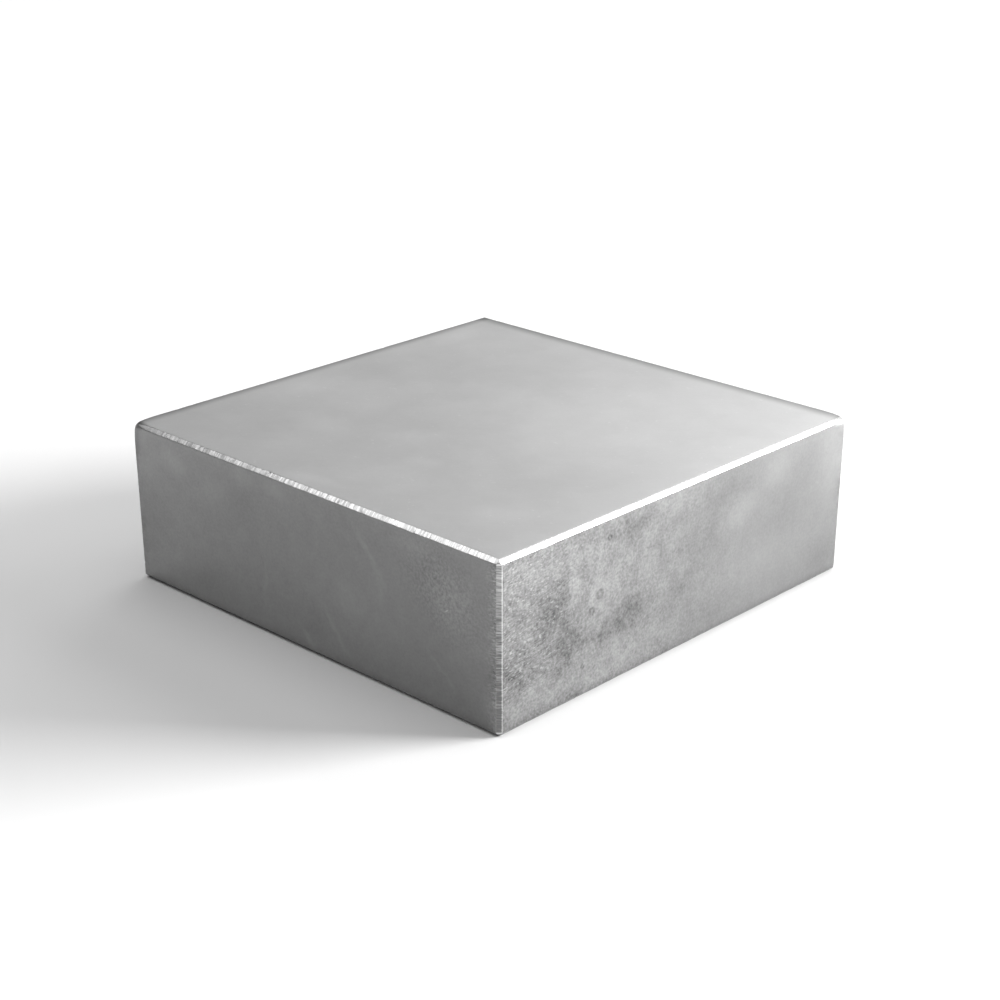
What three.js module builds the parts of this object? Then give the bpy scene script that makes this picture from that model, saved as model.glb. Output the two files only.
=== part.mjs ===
// Steel bench block: the small anvil that metalsmiths and jewellers hammer, flatten and rivet on.
// It is one solid square block of hardened tool steel, ground on all six faces, with a small
// 45 degree chamfer along all twelve edges. It has no holes, feet, seams or moving parts.
//
// Frame: millimetres, +Z up. The origin is the centre of the bottom face, and X and Y run
// parallel to the sides. Top and bottom are alike, and so are the four sides.

import * as THREE from "three";
import { ConvexGeometry } from "three/addons/geometries/ConvexGeometry.js";

// Driving dimensions
const INCH = 25.4;
const SIDE = 3 * INCH; // the block's length and its width
const THICKNESS = 1 * INCH; // from the bottom face to the top face
const CHAMFER = 0.025 * INCH; // each chamfer's leg, measured along the faces beside it

const groundSteel = new THREE.MeshStandardMaterial({
  color: 0xb9b9ba,
  roughness: 0.3,
  metalness: 1.0,
});

// The four points of one corner of a block centred on the origin. signs holds +1 or -1 for each
// axis and picks the corner. Three points are the corners of the faces that end there, a chamfer
// leg in from both of the face's edges. The fourth is where the planes of the three chamfers
// meet, half a leg in from each face, so the corner ends in a blunt point.
function cornerPoints(half, signs) {
  const legIn = half.clone().subScalar(CHAMFER);
  const halfLegIn = half.clone().subScalar(CHAMFER / 2);
  const points = [
    new THREE.Vector3(half.x, legIn.y, legIn.z),
    new THREE.Vector3(legIn.x, half.y, legIn.z),
    new THREE.Vector3(legIn.x, legIn.y, half.z),
    halfLegIn,
  ];
  return points.map((point) => point.multiply(signs));
}

// A closed block with all twelve edges chamfered, centred on the origin. It is convex, so it is
// the hull of the points of its eight corners.
function chamferedBlock(length, width, height) {
  const half = new THREE.Vector3(length, width, height).divideScalar(2);
  const points = [];
  for (const x of [-1, 1]) {
    for (const y of [-1, 1]) {
      for (const z of [-1, 1]) {
        points.push(...cornerPoints(half, new THREE.Vector3(x, y, z)));
      }
    }
  }
  return new ConvexGeometry(points);
}

const steelBlock = new THREE.Mesh(chamferedBlock(SIDE, SIDE, THICKNESS), groundSteel);
steelBlock.name = "steel_block";
steelBlock.position.z = THICKNESS / 2;

const benchBlock = new THREE.Group();
benchBlock.name = "bench_block";
benchBlock.add(steelBlock);

export default benchBlock;
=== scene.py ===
"""A steel bench block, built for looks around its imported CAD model.

The real object is one solid piece of ground steel, so one mesh stands for the one CAD node. It has
the CAD block's faces and chamfers, and on them the fine shape that a file and years of handling
leave: cross-wise marks and nicks along the chamfers, soft arrises and faces rolled off by a few
hundredths of a millimetre towards their edges. Lengths are in metres, except in the materials.

The camera looks at the corner between the +X side, on its right, and the -Y side, on its left.
"""

import math

import bpy
import numpy as np
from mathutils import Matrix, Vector


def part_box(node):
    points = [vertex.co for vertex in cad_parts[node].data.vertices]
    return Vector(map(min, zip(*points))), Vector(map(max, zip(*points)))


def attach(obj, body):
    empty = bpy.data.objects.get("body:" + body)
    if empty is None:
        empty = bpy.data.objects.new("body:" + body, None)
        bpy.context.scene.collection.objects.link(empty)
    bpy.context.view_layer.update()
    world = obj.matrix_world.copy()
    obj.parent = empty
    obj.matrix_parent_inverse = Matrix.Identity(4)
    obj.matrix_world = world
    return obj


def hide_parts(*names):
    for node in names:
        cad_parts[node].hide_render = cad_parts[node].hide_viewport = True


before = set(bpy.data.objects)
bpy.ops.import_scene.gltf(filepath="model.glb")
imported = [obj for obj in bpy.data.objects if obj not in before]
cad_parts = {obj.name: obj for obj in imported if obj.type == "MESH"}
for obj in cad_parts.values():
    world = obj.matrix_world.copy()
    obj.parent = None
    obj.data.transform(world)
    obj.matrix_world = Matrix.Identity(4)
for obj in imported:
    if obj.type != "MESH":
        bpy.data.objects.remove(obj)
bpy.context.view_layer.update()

MM = 0.001
X, Y, Z = range(3)
NODE = "steel_block"
LOW, HIGH = (np.array(corner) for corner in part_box(NODE))
HALF = (HIGH - LOW) / 2
MIDDLE = (HIGH + LOW) / 2
THICKNESS = HIGH[Z] - LOW[Z]


def chamfer_leg():
    """How far the CAD block's top face stops short of its side faces."""
    corners = np.array([vertex.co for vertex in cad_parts[NODE].data.vertices])
    on_top = corners[:, Z] > HIGH[Z] - 0.001 * MM
    return HIGH[X] - corners[on_top, X].max()


LEG = chamfer_leg()
CHAMFER_WIDTH = LEG * math.sqrt(2)

# ---------------------------------------------------------------- shape
# Every point is found in the block's own axes, from its middle. The mesh is laid out on the sharp
# CAD shape first: a finely divided strip along each chamfer, and on each face rings that get
# coarser towards a plain grid. The points then settle onto the worn surface.

ARRIS_REACH = 0.14 * MM  # how far a strip reaches onto the flat faces beside its chamfer
STRIP_EDGE = np.array([-ARRIS_REACH, -0.05 * MM, 0.04 * MM, 0.16 * MM])
STRIP_COLUMNS = np.concatenate(
    [STRIP_EDGE, [CHAMFER_WIDTH / 2], CHAMFER_WIDTH - STRIP_EDGE[::-1]]
)
STRIP_ROWS = (756, 756, 243)  # along X, Y and Z, about 0.1 mm apart, each divisible by 9
# The loops of points round a face: a point for every 1, 3 or 9 strip rows, and the loop's inset.
LOOPS = (
    (1, LEG + ARRIS_REACH),
    (3, LEG + ARRIS_REACH + 0.5 * MM),
    (9, 4.0 * MM),
)
WELD_DISTANCE = 1e-5 * MM

LAPPED, GROUND, FILED = range(3)  # the three finishes: work faces, side faces, chamfers

BLEND = 0.023 * MM  # softness of the arrises, which rounds each over about 0.1 mm
CORNER_BLEND = 0.26 * MM  # extra softness of the two top corners that have been knocked round
CORNER_REACH = 2.0 * MM  # how far from those corners it acts
ROUND_CORNERS = ((-1, -1, 1), (1, 1, 1))
RUBBED_REACH = 8.0 * MM  # how far from those corners handling has rubbed the file marks away
ROLL_WIDTH = 5.0 * MM  # a face rolls off over this width
ROLL_DEPTH = 0.03 * MM
WEAR_SEED = 76
SETTLING_STEPS = 4
NORMAL_STEP = 0.012 * MM  # the surface's direction is measured this far to each side
EDGE_SIGNS = ((-1, -1), (-1, 1), (1, -1), (1, 1))  # the four edges along an axis


def finish_of(axis):
    return LAPPED if axis == Z else GROUND


def section(across):
    """A strip's section: distances from the planes of its two faces, and the inset of its ends."""
    share = np.clip(across / CHAMFER_WIDTH, 0, 1)
    first = LEG * share + np.maximum(across - CHAMFER_WIDTH, 0)
    second = LEG * (1 - share) + np.maximum(-across, 0)
    return first, second, np.maximum(first, second)


class Shell:
    """Patches of points and faces, welded into one closed surface."""

    def __init__(self):
        self.points = []
        self.faces = []
        self.finishes = []
        self.count = 0

    def add_points(self, points):
        flat = points.reshape(-1, 3)
        self.points.append(flat)
        index = np.arange(len(flat)).reshape(points.shape[:-1]) + self.count
        self.count += len(flat)
        return index

    def add_faces(self, corners, finish):
        """corners holds an array of indices for each corner of the faces."""
        faces = np.stack([corner.ravel() for corner in corners], -1).tolist()
        self.faces.extend(faces)
        self.finishes.extend([finish] * len(faces))

    def add_grid(self, points, finishes):
        """points is rows by columns, and finishes has one entry for each gap between columns."""
        index = self.add_points(points)
        for column, finish in enumerate(finishes):
            here, there = index[:, column], index[:, column + 1]
            self.add_faces([here[:-1], here[1:], there[1:], there[:-1]], finish)

    def add_ring(self, outer, inner, finish):
        """Joins a closed loop to one inside it that has a third of its points."""
        outside = self.add_points(outer)
        inside = self.add_points(inner)
        ahead = np.roll(inside, -1)
        first, second, third = outside[0::3], outside[1::3], outside[2::3]
        self.add_faces([first, second, inside], finish)
        self.add_faces([second, third, ahead, inside], finish)
        self.add_faces([third, np.roll(first, -1), ahead], finish)

    def welded(self):
        points = np.concatenate(self.points)
        keys = np.round(points / WELD_DISTANCE).astype(np.int64)
        _, first, place = np.unique(keys, axis=0, return_index=True, return_inverse=True)
        place = place.ravel()
        faces = [[int(place[corner]) for corner in face] for face in self.faces]
        return points[first], faces, self.finishes


def add_chamfer(shell, axis, signs):
    """The strip along one edge, which takes in a little of the two faces beside it."""
    b, c = (axis + 1) % 3, (axis + 2) % 3
    first, second, inset = section(STRIP_COLUMNS)
    rows = np.linspace(-1, 1, STRIP_ROWS[axis] + 1)
    points = np.empty((len(rows), len(STRIP_COLUMNS), 3))
    points[..., axis] = rows[:, None] * (HALF[axis] - inset)
    points[..., b] = signs[0] * (HALF[b] - first)
    points[..., c] = signs[1] * (HALF[c] - second)
    middles = (STRIP_COLUMNS[1:] + STRIP_COLUMNS[:-1]) / 2
    finishes = [
        finish_of(b) if middle < 0 else finish_of(c) if middle > CHAMFER_WIDTH else FILED
        for middle in middles
    ]
    shell.add_grid(points, finishes)


def rectangle(half_b, half_c, count_b, count_c):
    """Points round a rectangle, evenly spaced along each side."""
    along_b = np.linspace(-1, 1, count_b + 1)[:-1]
    along_c = np.linspace(-1, 1, count_c + 1)[:-1]
    b = np.concatenate([along_b, np.ones(count_c), -along_b, -np.ones(count_c)])
    c = np.concatenate([-np.ones(count_b), along_c, np.ones(count_b), -along_c])
    return b * half_b, c * half_c


def add_face(shell, axis, sign):
    """A flat face: two rings, each coarser than the one outside it, round a plain grid."""
    b, c = (axis + 1) % 3, (axis + 2) % 3
    finish = finish_of(axis)

    def placed(on_b, on_c):
        points = np.empty((*np.shape(on_b), 3))
        points[..., axis] = sign * HALF[axis]
        points[..., b] = on_b
        points[..., c] = on_c
        return points

    def sizes(thinning, inset):
        counts = STRIP_ROWS[b] // thinning, STRIP_ROWS[c] // thinning
        return HALF[b] - inset, HALF[c] - inset, *counts

    outer, middle, inner = (placed(*rectangle(*sizes(*loop))) for loop in LOOPS)
    shell.add_ring(outer, middle, finish)
    shell.add_ring(middle, inner, finish)
    half_b, half_c, count_b, count_c = sizes(*LOOPS[-1])
    rows = np.linspace(-1, 1, count_b + 1) * half_b
    columns = np.linspace(-1, 1, count_c + 1) * half_c
    grid = placed(*np.meshgrid(rows, columns, indexing="ij"))
    shell.add_grid(grid, [finish] * count_c)


def nearness(points, corner, reach):
    """1 at a corner of the block, falling off to 0 over about twice the reach."""
    distance = np.linalg.norm(points - HALF * corner, axis=1)
    return np.exp(-((distance / reach) ** 2))


class FacePlane:
    """One of the six flat faces, rolled off a little towards its edges."""

    def __init__(self, axis, sign):
        self.axis = axis
        self.normal = np.zeros(3)
        self.normal[axis] = sign
        self.offset = HALF[axis]

    def removed(self, points):
        others = [axis for axis in range(3) if axis != self.axis]
        gaps = HALF[others] - LEG - np.abs(points[:, others])
        share = np.clip(1 - gaps.min(axis=1) / ROLL_WIDTH, 0, 1)
        return ROLL_DEPTH * share**2


class ChamferPlane:
    """One of the twelve chamfers, with the marks that a file and knocks left in it."""

    MARK_PITCH = (0.18 * MM, 0.45 * MM)
    MARK_DEPTHS = (0.036 * MM, 0.018 * MM, 0.017 * MM)  # on edges along X, Y and Z
    WAVE_PITCH = (3.0 * MM, 8.0 * MM)
    WAVE_DEPTH = 0.025 * MM
    MOST_SLANT = 0.35
    NICKS_PER_METRE = 120
    NICK_RADIUS = (0.12 * MM, 0.35 * MM)
    NICK_DEPTH = (0.015 * MM, 0.06 * MM)
    SHALLOWNESS = 1.5  # a higher power leaves more of the marks shallow

    def __init__(self, axis, signs, rng):
        self.axis, self.signs = axis, signs
        self.b, self.c = (axis + 1) % 3, (axis + 2) % 3
        self.normal = np.zeros(3)
        self.normal[[self.b, self.c]] = np.array(signs) / math.sqrt(2)
        self.offset = (HALF[self.b] + HALF[self.c] - LEG) / math.sqrt(2)
        self.marks = self.profile(rng, self.MARK_PITCH, self.MARK_DEPTHS[axis])
        self.waves = self.profile(rng, self.WAVE_PITCH, self.WAVE_DEPTH)
        self.slant = rng.uniform(-self.MOST_SLANT, self.MOST_SLANT)
        self.nicks = self.some_nicks(rng)

    def profile(self, rng, pitch, depth):
        """Unevenly spaced places along the edge and the depth cut at each."""
        length = 2 * HALF[self.axis]
        steps = rng.uniform(*pitch, int(length / pitch[0]) + 2)
        places = np.cumsum(steps) - HALF[self.axis] - pitch[1]
        return places, depth * rng.random(len(places)) ** self.SHALLOWNESS

    def some_nicks(self, rng):
        count = int(self.NICKS_PER_METRE * 2 * HALF[self.axis])
        along = rng.uniform(-HALF[self.axis], HALF[self.axis], count)
        across = rng.choice([-0.5, 0.5], count) * CHAMFER_WIDTH
        radius = rng.uniform(*self.NICK_RADIUS, count)
        depth = rng.uniform(*self.NICK_DEPTH, count)
        return list(zip(along, across, radius, depth))

    def removed(self, points):
        along = points[:, self.axis]
        on_b = self.signs[0] * points[:, self.b] - HALF[self.b]
        on_c = self.signs[1] * points[:, self.c] - HALF[self.c]
        across = (on_c - on_b) / math.sqrt(2)
        depth = np.interp(along + self.slant * across, *self.marks)
        depth += np.interp(along, *self.waves)
        for nick_along, nick_across, radius, nick_depth in self.nicks:
            distance = (along - nick_along) ** 2 + (across - nick_across) ** 2
            depth += nick_depth * np.exp(-distance / radius**2)
        for corner in ROUND_CORNERS:
            depth *= 1 - nearness(points, corner, RUBBED_REACH)
        return depth


def worn_surface():
    """All the planes that bound the worn block."""
    rng = np.random.default_rng(WEAR_SEED)
    planes = [FacePlane(axis, sign) for axis in range(3) for sign in (-1, 1)]
    for axis in range(3):
        for signs in EDGE_SIGNS:
            planes.append(ChamferPlane(axis, signs, rng))
    return planes


def softness(points):
    """How softly the planes blend into each other at each point."""
    blend = np.full(len(points), BLEND)
    for corner in ROUND_CORNERS:
        blend += CORNER_BLEND * nearness(points, corner, CORNER_REACH)
    return blend


def height_above(planes, points):
    """Smoothed height of points above the worn surface, and its direction of steepest rise."""
    heights = np.stack(
        [points @ plane.normal - plane.offset + plane.removed(points) for plane in planes]
    )
    highest = heights.max(axis=0)
    blend = softness(points)
    weights = np.exp((heights - highest) / blend)
    total = weights.sum(axis=0)
    normals = np.stack([plane.normal for plane in planes])
    return highest + blend * np.log(total), (weights / total).T @ normals


def settled(planes, points):
    """The points moved onto the worn surface."""
    for _ in range(SETTLING_STEPS):
        height, rise = height_above(planes, points)
        points = points - rise * (height / (rise**2).sum(axis=1))[:, None]
    return points


def surface_normals(planes, points):
    normals = np.empty_like(points)
    for axis in range(3):
        shift = np.zeros(3)
        shift[axis] = NORMAL_STEP
        above, _ = height_above(planes, points + shift)
        below, _ = height_above(planes, points - shift)
        normals[:, axis] = above - below
    return normals / np.linalg.norm(normals, axis=1)[:, None]


def outward(points, faces):
    """The faces with their corners in order round the outward side."""
    turned = []
    for face in faces:
        a, b, c = (points[corner] for corner in face[:3])
        facing = np.dot(np.cross(b - a, c - a), a + b + c)
        turned.append(face if facing > 0 else face[::-1])
    return turned


def edge_run(points):
    """For points near an edge, how far along it they lie, in millimetres."""
    longest = np.argmax(HALF - np.abs(points), axis=1)
    return points[np.arange(len(points)), longest] / MM


def block_shell():
    """The points and faces of the sharp block, and the finish of each face."""
    shell = Shell()
    for axis in range(3):
        for signs in EDGE_SIGNS:
            add_chamfer(shell, axis, signs)
        for sign in (-1, 1):
            add_face(shell, axis, sign)
    return shell.welded()


def make_block(materials):
    points, faces, finishes = block_shell()
    planes = worn_surface()
    points = settled(planes, points)
    normals = surface_normals(planes, points)
    mesh = bpy.data.meshes.new("bench_block")
    mesh.from_pydata((points + MIDDLE).tolist(), [], outward(points, faces))
    for material in materials:
        mesh.materials.append(material)
    mesh.polygons.foreach_set("material_index", finishes)
    mesh.polygons.foreach_set("use_smooth", [True] * len(faces))
    mesh.update()
    mesh.normals_split_custom_set_from_vertices(normals.tolist())
    mesh.attributes.new("edge_run", "FLOAT", "POINT").data.foreach_set("value", edge_run(points))
    block = bpy.data.objects.new("bench_block", mesh)
    bpy.context.scene.collection.objects.link(block)
    return block


# ---------------------------------------------------------------- materials
# Patterns are laid out in millimetres along the block's own axes. A material's tone is the share of
# light that it reflects. It starts from the plain steel's reflectance, and each pattern adds or
# takes away a share of that. The roughness and the height of the surface are added up likewise.

NEUTRAL = 0.5  # the middle of a noise pattern
DARKEST = 0.3  # the least tone anywhere, as a share of the plain steel's reflectance
BARE_CHAMFER = 0.7  # a chamfer's tone before any pattern, as the same share

# The ovals are stains, with some painted light and shade among them. Each gives its place along and
# up the face as shares of it, its half length and half height in millimetres, its tilt in degrees,
# and its change of tone. The right side is counted from the near corner, and the left side towards
# it.
# On the right side the lighter ovals along the top edge, and the tall one at the far end, are
# painted light: the side lighter along its top and at its far end. The rest are stains.
RIGHT_STAINS_AND_LIGHT = (
    (0.10, 0.88, 9, 4, 0, 0.16),
    (0.15, 0.55, 8, 9, -20, -0.26),
    (0.17, 0.32, 6, 5, 10, -0.22),
    (0.04, 0.33, 7, 5, 0, -0.22),
    (0.19, 0.68, 2.4, 8, 0, 0.32),
    (0.26, 0.60, 6, 6, 0, 0.24),
    (0.24, 0.83, 4, 3, 0, 0.16),
    (0.39, 0.55, 3, 8, 0, 0.14),
    (0.33, 0.37, 9, 3.6, 10, -0.32),
    (0.35, 0.86, 4, 2.5, 0, -0.24),
    (0.30, 0.14, 18, 4, 4, 0.18),
    (0.10, 0.14, 8, 3, 0, 0.12),
    (0.44, 0.42, 3, 4, 0, 0.10),
    (0.47, 0.35, 5, 4, 30, -0.16),
    (0.47, 0.92, 8, 3, 0, 0.16),
    (0.56, 0.60, 7, 9, -45, -0.12),
    (0.62, 0.85, 8, 4, -10, -0.12),
    (0.66, 0.70, 7, 4, 15, 0.18),
    (0.72, 0.33, 16, 5, 10, 0.08),
    (0.77, 0.84, 6, 4, 0, 0.16),
    (0.81, 0.52, 7, 8, -30, -0.08),
    (0.58, 0.15, 9, 5, 0, -0.08),
    (0.97, 0.80, 8, 12, 0, 0.26),
    (0.86, 0.95, 16, 4, 0, 0.10),
    (0.94, 0.14, 7, 5, 0, -0.14),
)
# On the left side the broad lighter oval over its near half is painted light, and the darker one at
# its far end is painted shade. The rest are stains and streaks.
LEFT_STAINS_AND_LIGHT = (
    (0.05, 0.76, 4, 5, 0, 0.06),
    (0.13, 0.84, 5, 3, -15, 0.16),
    (0.24, 0.74, 5, 3, 20, 0.09),
    (0.34, 0.92, 4, 2, 0, 0.12),
    (0.43, 0.92, 4, 2, 0, 0.12),
    (0.04, 0.40, 8, 9, 0, -0.10),
    (0.34, 0.72, 6, 5, 0, -0.08),
    (0.22, 0.22, 8, 5, 0, -0.06),
    (0.53, 0.22, 6, 5, 0, -0.07),
    (0.68, 0.45, 26, 11, 0, 0.09),
    (0.63, 0.45, 5, 4, -30, 0.08),
    (0.79, 0.90, 5, 2.5, 0, 0.12),
    (0.89, 0.66, 6, 6, -35, 0.16),
    (0.68, 0.76, 7, 0.8, -52, 0.14),
    (0.71, 0.58, 0.8, 4, 0, 0.08),
    (0.59, 0.20, 7, 0.9, -52, 0.13),
    (0.51, 0.08, 4, 0.9, -52, 0.15),
    (0.39, 0.32, 0.9, 5, -8, 0.10),
    (0.86, 0.26, 6, 0.6, -42, 0.09),
)
# Two more ovals on the left side, with no change of tone: a bright scratch, and a speckled patch.
SCRATCH = (0.875, 0.61, 0.6, 0.13, 35)
SPECKLED = (0.87, 0.70, 11, 8, -35)
# On the top, the first share runs along X and the second along Y.
TOP_STAINS_AND_LIGHT = (
    # The first two ovals on the top are painted light and shade: a broad lighter patch towards the
    # +X +Y corner and a broad darker one at the -X -Y corner. The rest are stains.
    (0.66, 0.62, 34, 26, -30, 0.12),
    (0.06, 0.06, 30, 22, 0, -0.10),
    (0.58, 0.24, 4, 3, 20, 0.07),
    (0.46, 0.32, 9, 4, 40, 0.05),
    (0.86, 0.16, 7, 5, 40, 0.06),
    (0.50, 0.04, 9, 2, 15, 0.07),
    (0.07, 0.84, 4, 8, 0, 0.07),
    (0.09, 0.38, 5, 9, -20, 0.06),
    (0.13, 0.55, 9, 9, 0, -0.05),
    (0.28, 0.25, 6, 6, -40, 0.05),
)
# Small round water marks on the right side: place along and up it, and radius in millimetres.
WATER_MARKS = ((0.257, 0.57, 1.0), (0.236, 0.49, 0.8), (0.213, 0.19, 0.5), (0.281, 0.87, 0.6))
MARK_RIM = 0.6  # the share of its radius at which a water mark is darkest
MARK_CENTRE = 0.55  # the share of its radius that is lighter again


class Face:
    """One of the six flat faces, for laying spots on it."""

    def __init__(self, axis, sign):
        self.axis = axis
        self.first, self.second = (other for other in range(3) if other != axis)
        self.level = (HIGH if sign > 0 else LOW)[axis]

    def centre(self, first, second):
        """The place that lies at those shares of the face's length and height."""
        point = np.empty(3)
        point[self.axis] = self.level
        point[self.first] = LOW[self.first] + 2 * HALF[self.first] * first
        point[self.second] = LOW[self.second] + 2 * HALF[self.second] * second
        return tuple(point / MM)

    def size(self, length, height):
        size = np.full(3, float(max(length, height)))
        size[self.first] = length
        size[self.second] = height
        return tuple(size)

    def turn(self, degrees):
        """The rotation that tilts the length of a spot up towards its height."""
        turn = [0.0, 0.0, 0.0]
        turn[self.axis] = math.radians(-degrees if self.axis == Y else degrees)
        return tuple(turn)


RIGHT_SIDE = Face(X, 1)
LEFT_SIDE = Face(Y, -1)
TOP = Face(Z, 1)


class Steel:
    """A bare steel material, with short ways to lay patterns over it."""

    def __init__(self, name, reflectance, roughness):
        self.material = bpy.data.materials.new(name)
        self.material.use_nodes = True
        self.tree = self.material.node_tree
        self.shader = self.tree.nodes["Principled BSDF"]
        self.shader.inputs["Metallic"].default_value = 1.0
        self.tone = reflectance
        self.roughness = roughness
        self.height = 0.0
        self.reflectance = reflectance
        metres = self.node("TexCoord", output="Object")
        self.place = self.node("VectorMath", metres, (1 / MM,) * 3, operation="MULTIPLY")
        self.along = self.node("SeparateXYZ", self.place).node.outputs

    def node(self, kind, *values, output=0, **settings):
        """Adds a node, fills its first inputs with links or constants, and gives an output."""
        node = self.tree.nodes.new("ShaderNode" + kind)
        for name, value in settings.items():
            setattr(node, name, value)
        for socket, value in zip(node.inputs, values):
            if isinstance(value, bpy.types.NodeSocket):
                self.tree.links.new(value, socket)
            elif value is not None:
                socket.default_value = value
        return node.outputs[output]

    def noise(self, place, size, detail=2.0, roughness=0.5, output=0):
        scale = 1 / size
        return self.node("TexNoise", place, None, scale, detail, roughness, output=output)

    def between(self, value, start, end):
        """Rises smoothly from 0 where the value is at the start to 1 where it is at the end."""
        return self.node("MapRange", value, start, end, interpolation_type="SMOOTHSTEP")

    def from_low(self, axis, start, end):
        """Rises from 0 to 1 between two distances, in millimetres, from the low side."""
        return self.between(self.along[axis], LOW[axis] / MM + start, LOW[axis] / MM + end)

    def from_high(self, axis, start, end):
        """Rises from 0 to 1 between two distances, in millimetres, from the high side."""
        return self.between(self.along[axis], HIGH[axis] / MM - start, HIGH[axis] / MM - end)

    def product(self, first, second):
        return self.node("Math", first, second, operation="MULTIPLY")

    def larger(self, first, second):
        return self.node("Math", first, second, operation="MAXIMUM")

    def centred(self, pattern):
        return self.node("Math", pattern, NEUTRAL, operation="SUBTRACT")

    def sum_up(self, pattern, amount, total):
        return self.node("Math", pattern, amount, total, operation="MULTIPLY_ADD")

    def warped(self, size, reach):
        """The place, shifted about by up to the reach, for ragged outlines."""
        shift = self.noise(self.place, size, 3.0, 0.6, output=1)
        shift = self.node("VectorMath", shift, (NEUTRAL,) * 3, operation="SUBTRACT")
        return self.node(
            "VectorMath", shift, (2 * reach,) * 3, self.place, operation="MULTIPLY_ADD"
        )

    def stretched(self, turn, size):
        """The place, turned and scaled so that one unit is the size along each axis."""
        return self.node("Mapping", self.place, (0, 0, 0), turn, size, vector_type="TEXTURE")

    def spot(self, place, face, first, second, length, height, tilt=0.0, rim=0.0):
        """An oval on a face: 0 beyond its outline and 1 inside its rim."""
        oval = self.node(
            "Mapping",
            place,
            face.centre(first, second),
            face.turn(tilt),
            face.size(length, height),
            vector_type="TEXTURE",
        )
        distance = self.node("VectorMath", oval, operation="LENGTH", output=1)
        return self.between(distance, 1.0, rim)

    # Lays a table of ovals on a face: stains, and painted light and shade where a table holds it.
    def stains_and_light(self, place, face, stain_and_light_ovals):
        for *shape, amount in stain_and_light_ovals:
            self.lighten(self.spot(place, face, *shape), amount)

    def lighten(self, pattern, amount):
        self.tone = self.sum_up(pattern, amount * self.reflectance, self.tone)

    def roughen(self, pattern, amount):
        self.roughness = self.sum_up(pattern, amount, self.roughness)

    def raise_by(self, pattern, depth):
        self.height = self.sum_up(pattern, depth, self.height)

    def finished(self):
        links = self.tree.links
        tone = self.larger(self.tone, DARKEST * self.reflectance)
        links.new(tone, self.shader.inputs["Base Color"])
        links.new(self.roughness, self.shader.inputs["Roughness"])
        bump = self.tree.nodes.new("ShaderNodeBump")
        bump.inputs["Distance"].default_value = 1.0
        links.new(self.height, bump.inputs["Height"])
        links.new(bump.outputs["Normal"], self.shader.inputs["Normal"])
        return self.material


def lapped_steel():
    """The work faces: an even satin finish with faint clouds, specks, broad painted light and shade,
    and painted shade at the far edges.
    """
    steel = Steel("lapped_steel", reflectance=0.56, roughness=0.42)
    clouds = steel.centred(steel.noise(steel.warped(9.0, 4.0), 22.0, 3.0))
    smears = steel.centred(steel.noise(steel.warped(3.0, 1.5), 6.0, 4.0, 0.6))
    turn = (0, 0, math.radians(40))
    lay = steel.centred(steel.noise(steel.stretched(turn, (3.0, 0.15, 1.0)), 1.0, 2.0))
    frost = steel.centred(steel.noise(steel.place, 0.3, 2.0))
    specks = steel.between(steel.noise(steel.place, 0.8, 1.0), 0.70, 0.78)
    # Painted shade: darker towards the top's far -X and +Y edges, over 3 and 3.6 mm.
    far_left_shade = steel.from_low(X, 3.0, 0)
    far_right_shade = steel.from_high(Y, 3.6, 0)
    # The top's ovals: stains, and painted light and shade in the first two.
    steel.stains_and_light(steel.warped(4.0, 2.0), TOP, TOP_STAINS_AND_LIGHT)
    steel.lighten(clouds, 0.14)
    steel.lighten(smears, 0.16)
    steel.lighten(lay, 0.05)
    steel.lighten(frost, 0.08)
    steel.lighten(specks, 0.08)
    # Painted shade along the two far edges.
    steel.lighten(far_left_shade, -0.6)
    steel.lighten(far_right_shade, -0.6)
    steel.roughen(clouds, 0.10)
    steel.roughen(frost, 0.05)
    steel.raise_by(lay, 0.0006 * MM)
    steel.raise_by(frost, 0.0008 * MM)
    return steel.finished()


def add_side_stains_and_light(steel, ragged):
    """The stains and painted light of the two near sides, the scratch on the left and the water
    marks on the right.
    """
    steel.stains_and_light(ragged, RIGHT_SIDE, RIGHT_STAINS_AND_LIGHT)
    steel.stains_and_light(ragged, LEFT_SIDE, LEFT_STAINS_AND_LIGHT)
    steel.lighten(steel.spot(steel.place, LEFT_SIDE, *SCRATCH), 0.9)
    for *centre, radius in WATER_MARKS:
        mark = steel.spot(steel.place, RIGHT_SIDE, *centre, radius, radius, rim=MARK_RIM)
        inner = MARK_CENTRE * radius
        middle = steel.spot(steel.place, RIGHT_SIDE, *centre, inner, inner)
        steel.lighten(mark, -0.36)
        steel.lighten(middle, 0.26)


def add_mottling(steel, near, hidden):
    """Clouds and mottling, strongest near the front corner, with blots on the hidden sides."""
    clouds = steel.centred(steel.noise(steel.warped(5.0, 3.0), 10.0, 3.0))
    mottle = steel.centred(steel.noise(steel.warped(1.0, 0.5), 2.4, 5.0, 0.7))
    blots = steel.between(steel.noise(steel.warped(2.5, 2.0), 9.0, 4.0, 0.6), 0.48, 0.66)
    steel.lighten(clouds, 0.14)
    steel.lighten(mottle, 0.22)
    steel.lighten(steel.product(mottle, near), 1.0)
    steel.lighten(steel.product(mottle, hidden), 0.6)
    steel.lighten(steel.product(blots, hidden), -0.28)
    steel.roughen(mottle, -0.10)


def add_frost(steel, near, speckled):
    """A fine frosting, strongest near the front corner and in the speckled patch."""
    frost = steel.centred(steel.noise(steel.place, 0.4, 2.0, 0.6))
    steel.lighten(frost, 0.26)
    steel.lighten(steel.product(frost, near), 0.9)
    steel.lighten(steel.product(frost, speckled), 1.0)
    steel.raise_by(frost, 0.002 * MM)


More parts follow.
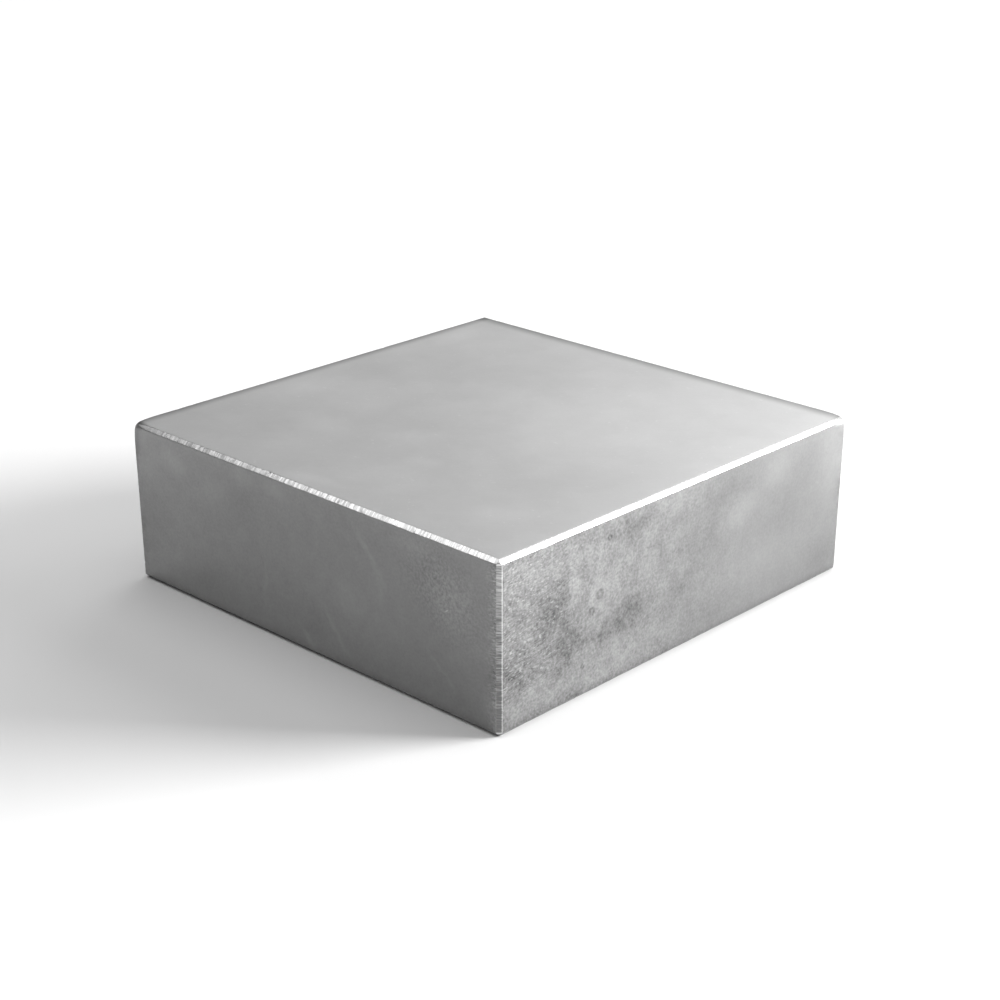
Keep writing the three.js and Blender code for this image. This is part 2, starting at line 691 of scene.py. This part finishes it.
def add_grain(steel, coarse):
    """The grinding grain, which is coarse and flecked beside the near edge of the right side."""
    turn = (math.radians(8), math.radians(-8), 0)
    grain = steel.centred(steel.noise(steel.stretched(turn, (0.9, 0.9, 0.17)), 1.0, 3.0, 0.6))
    flecks = steel.between(steel.noise(steel.stretched(turn, (0.7, 0.7, 0.25)), 1.0), 0.58, 0.70)
    coarse_grain = steel.product(grain, coarse)
    steel.lighten(grain, 0.10)
    steel.lighten(coarse_grain, 1.3)
    steel.lighten(steel.product(flecks, coarse), 0.65)
    steel.roughen(grain, 0.06)
    steel.raise_by(grain, 0.002 * MM)
    steel.raise_by(coarse_grain, 0.012 * MM)


def ground_steel():
    """The sides: a grinding grain and frosting under water stains, wipe marks, a scratch, some
    painted light, and painted shade at the floor.
    """
    steel = Steel("ground_steel", reflectance=0.298, roughness=0.36)
    right = steel.from_high(X, 3, 0)
    near = steel.product(right, steel.from_low(Y, 58, 18))
    off_floor = steel.product(right, steel.from_low(Z, 1, 9))
    coarse = steel.product(off_floor, steel.from_low(Y, 22, 4))
    hidden = steel.larger(steel.from_low(X, 3, 0), steel.from_high(Y, 3, 0))
    painted_floor_shade = steel.from_low(Z, 2.0, 0)
    ragged = steel.warped(1.6, 1.2)
    add_side_stains_and_light(steel, ragged)
    add_mottling(steel, near, hidden)
    add_frost(steel, near, steel.spot(ragged, LEFT_SIDE, *SPECKLED))
    add_grain(steel, coarse)
    # Painted shade: the sides darker within 2 mm of the floor.
    steel.lighten(painted_floor_shade, -0.25)
    return steel.finished()


def filed_marks(steel):
    """Ragged cuts across a chamfer, and slow bands along it, which both drift a little."""
    run = steel.node("Attribute", output="Fac", attribute_name="edge_run")
    along = steel.node("CombineXYZ", run, 0.0, 0.0)
    drift = steel.stretched((0, 0, 0), (2.0, 2.0, 2.0))
    fine = steel.node("VectorMath", along, (4.5, 0, 0), drift, operation="MULTIPLY_ADD")
    broad = steel.node("VectorMath", along, (0.5, 0, 0), drift, operation="MULTIPLY_ADD")
    cuts = steel.centred(steel.between(steel.noise(fine, 1.0, 2.0, 0.6), 0.36, 0.64))
    bands = steel.centred(steel.noise(broad, 1.0, 2.0))
    return cuts, bands


def away_from_left_corner(steel):
    """Rises from 0 to 1 between 2 and 14 mm from the top left corner, where the marks are worn."""
    corner = (LOW[X] / MM, LOW[Y] / MM, HIGH[Z] / MM)
    distance = steel.node("VectorMath", steel.place, corner, operation="DISTANCE", output=1)
    return steel.between(distance, 2, 14)


def add_upright_shade_and_highlight(steel, painted_highlight):
    """The upright chamfers: painted shade towards the floor, and a painted highlight in a line
    beside the X faces.
    """
    upright = steel.product(steel.from_low(Z, 0.6, 1.0), steel.from_high(Z, 0.6, 1.0))
    shade_towards_floor = steel.product(upright, steel.from_high(Z, 0, THICKNESS / MM))
    outer = steel.node("Math", steel.along[X], operation="ABSOLUTE")
    arris_highlight = steel.between(outer, HIGH[X] / MM - 0.16, HIGH[X] / MM - 0.04)
    # The upright chamfers keep little of the painted highlight towards +X.
    steel.lighten(steel.product(upright, painted_highlight), -0.45)
    # Painted shade: the upright chamfers darker towards the floor.
    steel.lighten(shade_towards_floor, -0.5)
    # Painted highlight: a bright line on the upright chamfers beside the X faces.
    steel.lighten(steel.product(arris_highlight, upright), 1.3)


def filed_steel():
    """The chamfers: steel with ragged marks across it, a painted highlight towards +X and painted
    shade at the floor.
    """
    steel = Steel("filed_steel", reflectance=0.52, roughness=0.32)
    steel.tone = BARE_CHAMFER * steel.reflectance
    cuts, bands = filed_marks(steel)
    pits = steel.between(steel.noise(steel.place, 0.45, 1.0), 0.70, 0.78)
    painted_highlight = steel.from_low(X, 10, 2 * HALF[X] / MM - 10)
    kept = away_from_left_corner(steel)
    beside_right = steel.from_high(X, 1.0, 0.6)
    painted_floor_shade = steel.from_low(Z, 0.7, 0.5)
    add_upright_shade_and_highlight(steel, painted_highlight)
    steel.lighten(beside_right, -0.4)
    # Painted shade: the bottom chamfers dark within about 0.7 mm of the floor.
    steel.lighten(painted_floor_shade, -0.9)
    # Painted highlight: the chamfers lighter towards +X.
    steel.lighten(painted_highlight, 0.65)
    steel.lighten(kept, 0.2)
    steel.lighten(steel.product(cuts, kept), 0.45)
    steel.lighten(bands, 0.10)
    steel.lighten(pits, -0.35)
    steel.roughen(cuts, -0.10)
    steel.raise_by(cuts, 0.006 * MM)
    steel.raise_by(pits, -0.01 * MM)
    return steel.finished()


# ---------------------------------------------------------------- stage, light and camera

CAMERA_AZIMUTH = math.radians(43.575)  # from -Y towards +X
CAMERA_ELEVATION = math.radians(24.681)
CAMERA_DISTANCE = 10.47 * THICKNESS
CAMERA_TARGET = Vector((0.3552 * 2 * HALF[X], -0.3465 * 2 * HALF[Y], THICKNESS / 2))
CAMERA_LENS = 70.69  # this and the sensor's width are in millimetres
CAMERA_SENSOR = 36.0
CAMERA_SHIFT = 0.1  # upwards, as a share of the picture's width
CAMERA_CLIP = (0.01, 20.0)
FLOOR_REACH = 4.0
FLOOR_CORNERS = ((-1, -1), (1, -1), (1, 1), (-1, 1))
FLOOR_COLOUR = (0.9, 0.9, 0.9, 1)
SOFTBOX_DISTANCE = 1.5
OVERHEAD_SPREAD = math.radians(60)
GLOW_HEIGHT = 0.4  # sine of the elevation at which the glow of the horizon ends


def towards(azimuth, elevation):
    """The direction that lies at that azimuth from -Y towards +X, and that far above level."""
    level = math.cos(elevation)
    return Vector(
        (math.sin(azimuth) * level, -math.cos(azimuth) * level, math.sin(elevation))
    )


def add_camera():
    data = bpy.data.cameras.new("camera")
    data.lens = CAMERA_LENS
    data.sensor_width = CAMERA_SENSOR
    data.shift_y = CAMERA_SHIFT
    data.clip_start, data.clip_end = CAMERA_CLIP
    camera = bpy.data.objects.new("camera", data)
    back = towards(CAMERA_AZIMUTH, CAMERA_ELEVATION)
    camera.location = CAMERA_TARGET + back * CAMERA_DISTANCE
    camera.rotation_euler = (-back).to_track_quat("-Z", "Y").to_euler()
    bpy.context.scene.collection.objects.link(camera)
    bpy.context.scene.camera = camera


def add_floor():
    mesh = bpy.data.meshes.new("floor")
    corners = [(x * FLOOR_REACH, y * FLOOR_REACH, 0) for x, y in FLOOR_CORNERS]
    mesh.from_pydata(corners, [], [(0, 1, 2, 3)])
    floor = bpy.data.objects.new("floor", mesh)
    bpy.context.scene.collection.objects.link(floor)
    material = bpy.data.materials.new("pale_floor")
    material.use_nodes = True
    shader = material.node_tree.nodes["Principled BSDF"]
    shader.inputs["Base Color"].default_value = FLOOR_COLOUR
    shader.inputs["Roughness"].default_value = 0.9
    shader.inputs["Specular IOR Level"].default_value = 0.0
    mesh.materials.append(material)


def softbox(name, azimuth, elevation, width, height, radiance):
    """A rectangular panel that faces the block, at an azimuth and elevation in degrees."""
    data = bpy.data.lights.new(name, "AREA")
    data.shape = "RECTANGLE"
    data.size, data.size_y = width, height
    data.energy = radiance * width * height * math.pi
    light = bpy.data.objects.new(name, data)
    back = towards(math.radians(azimuth), math.radians(elevation))
    light.location = Vector(MIDDLE) + back * SOFTBOX_DISTANCE
    light.rotation_euler = (-back).to_track_quat("-Z", "Y").to_euler()
    light.visible_camera = False
    bpy.context.scene.collection.objects.link(light)


def overhead(irradiance):
    """Soft light from straight above, which lights the floor evenly to its far edges."""
    data = bpy.data.lights.new("overhead", "SUN")
    data.energy = irradiance
    data.angle = OVERHEAD_SPREAD
    light = bpy.data.objects.new("overhead", data)
    bpy.context.scene.collection.objects.link(light)


def add_world(horizon, zenith):
    """Light from all round, fading from one radiance at the horizon to another high up."""
    world = bpy.data.worlds.new("studio")
    world.use_nodes = True
    nodes, links = world.node_tree.nodes, world.node_tree.links
    place = nodes.new("ShaderNodeTexCoord")
    axes = nodes.new("ShaderNodeSeparateXYZ")
    radiance = nodes.new("ShaderNodeMapRange")
    radiance.interpolation_type = "SMOOTHSTEP"
    radiance.inputs["From Max"].default_value = GLOW_HEIGHT
    radiance.inputs["To Min"].default_value = horizon
    radiance.inputs["To Max"].default_value = zenith
    links.new(place.outputs["Generated"], axes.inputs["Vector"])
    links.new(axes.outputs["Z"], radiance.inputs["Value"])
    links.new(radiance.outputs["Result"], nodes["Background"].inputs["Strength"])
    nodes["Background"].inputs["Color"].default_value = (1, 1, 1, 1)
    bpy.context.scene.world = world


block = make_block([lapped_steel(), ground_steel(), filed_steel()])
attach(block, "root")
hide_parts(NODE)
add_camera()
add_floor()
add_world(horizon=0.5, zenith=0.05)
overhead(irradiance=1.0)
softbox("key", azimuth=140, elevation=14, width=0.75, height=0.5, radiance=45.5)
softbox("right", azimuth=148, elevation=39, width=0.8, height=0.5, radiance=2.4)
softbox("back_right", azimuth=195, elevation=30, width=1.0, height=1.0, radiance=1.35)
softbox("back_left", azimuth=224, elevation=30, width=1.0, height=1.0, radiance=0.66)
softbox("left", azimuth=304, elevation=45, width=1.0, height=0.8, radiance=1.5)
bpy.context.scene.view_settings.view_transform = "Standard"
